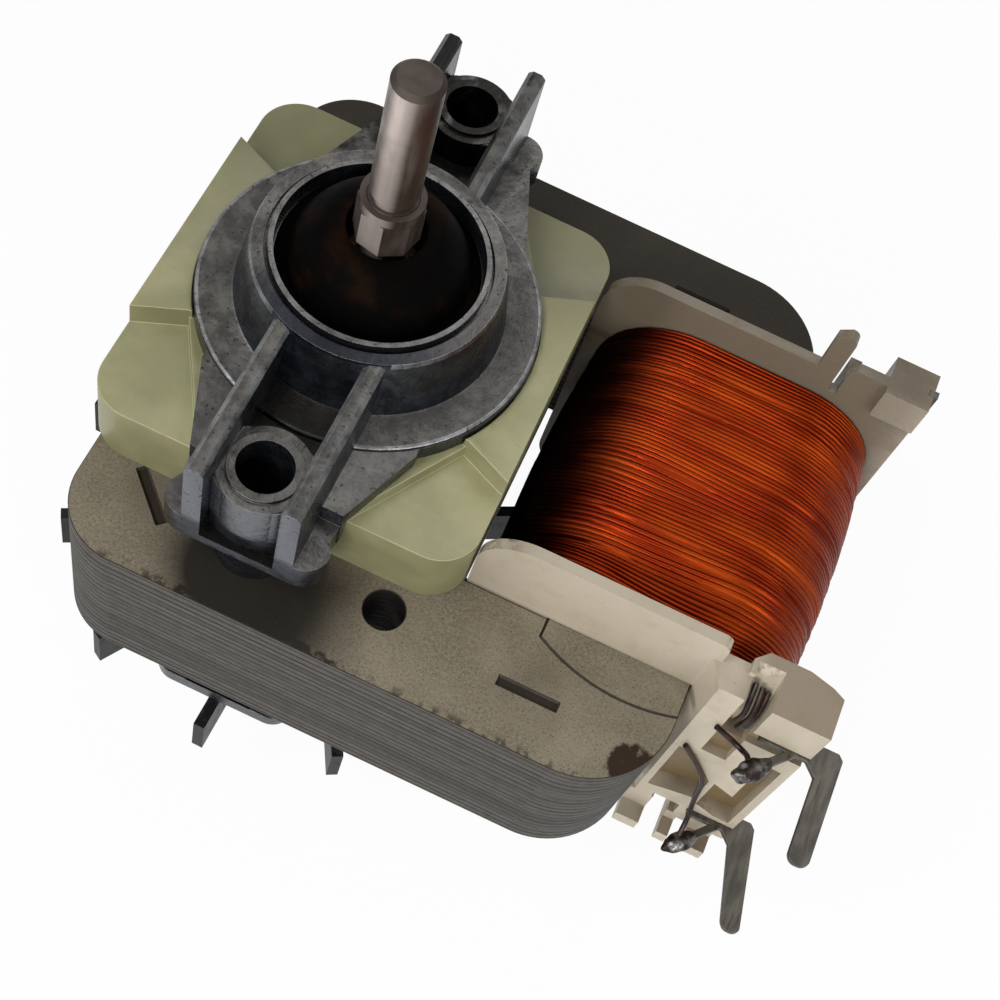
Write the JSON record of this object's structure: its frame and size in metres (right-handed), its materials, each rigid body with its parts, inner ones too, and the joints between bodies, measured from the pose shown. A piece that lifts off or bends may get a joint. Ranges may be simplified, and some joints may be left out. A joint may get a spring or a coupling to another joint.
{
  "type": "shaded-pole drying fan motor",
  "caption": "Small shaded-pole motor with a side coil, die-cast bearing brackets, push-on terminals and a round output shaft that drives a drying fan.",
  "frame": {"origin": "on the rotor axis, level with the faces of the two mounting bosses", "axes": "+Z along the output shaft, away from the motor; +X from the rotor towards the coil; +Y completes the frame, away from the terminal tabs"},
  "size_m": [0.1169, 0.08, 0.1122],
  "materials": {
    "bobbin_plastic": "ivory moulded plastic",
    "cast_aluminium": "die-cast",
    "copper_bar": "bare copper",
    "copper_wire": "enamelled copper wire",
    "dark_cap": "black, oily",
    "die_cast_metal": "die-cast, mottled",
    "fan_plastic": "black moulded plastic",
    "insulator_plastic": "pale green moulded plastic",
    "lamination_steel": "laminated electrical steel, dull",
    "lead_wire": "varnished winding wire",
    "oil_felt": "felt, oiled",
    "screw_steel": "zinc-plated steel",
    "shaft_steel": "ground steel",
    "sintered_bronze": "sintered bronze, oiled",
    "solder": "solder, dull",
    "spring_steel": "spring steel",
    "tinned_steel": "tinned steel, tarnished"
  },
  "bodies": {
    "stator": {"stator_core": "lamination_steel", "coil_core": "lamination_steel", "coil_bobbin": "bobbin_plastic", "copper_winding": "copper_wire", "terminal_tab_upper": "tinned_steel", "terminal_tab_lower": "tinned_steel", "shading_ring_front": "copper_bar", "shading_ring_back": "copper_bar", "front_bracket": "die_cast_metal", "rear_bracket": "die_cast_metal", "front_insulator": "insulator_plastic", "rear_insulator": "insulator_plastic", "front_bearing": "sintered_bronze", "rear_bearing": "sintered_bronze", "front_oil_felt": "oil_felt", "rear_oil_felt": "oil_felt", "front_retainer": "spring_steel", "rear_retainer": "spring_steel", "front_bearing_cap": "dark_cap", "rear_bearing_cap": "dark_cap", "clamp_screw_front": "screw_steel", "clamp_screw_back": "screw_steel", "lead_upper": "lead_wire", "lead_lower": "lead_wire", "solder_upper": "solder", "solder_lower": "solder", "rear_terminal_strip": "tinned_steel"},
    "rotor": {"rotor_core": "lamination_steel", "rotor_cage": "cast_aluminium", "shaft": "shaft_steel", "shaft_collar": "spring_steel", "front_thrust_washer": "spring_steel", "rear_thrust_washer": "spring_steel", "front_spacer": "bobbin_plastic", "rear_spacer": "bobbin_plastic", "cooling_fan": "fan_plastic", "fan_clip": "spring_steel"}
  },
  "joints": [
    {"name": "rotor_spin", "type": "hinge", "parent": "stator", "child": "rotor", "pos_m": [0, 0, 0], "axis": [0, 0, 1], "continuous": true}
  ]
}
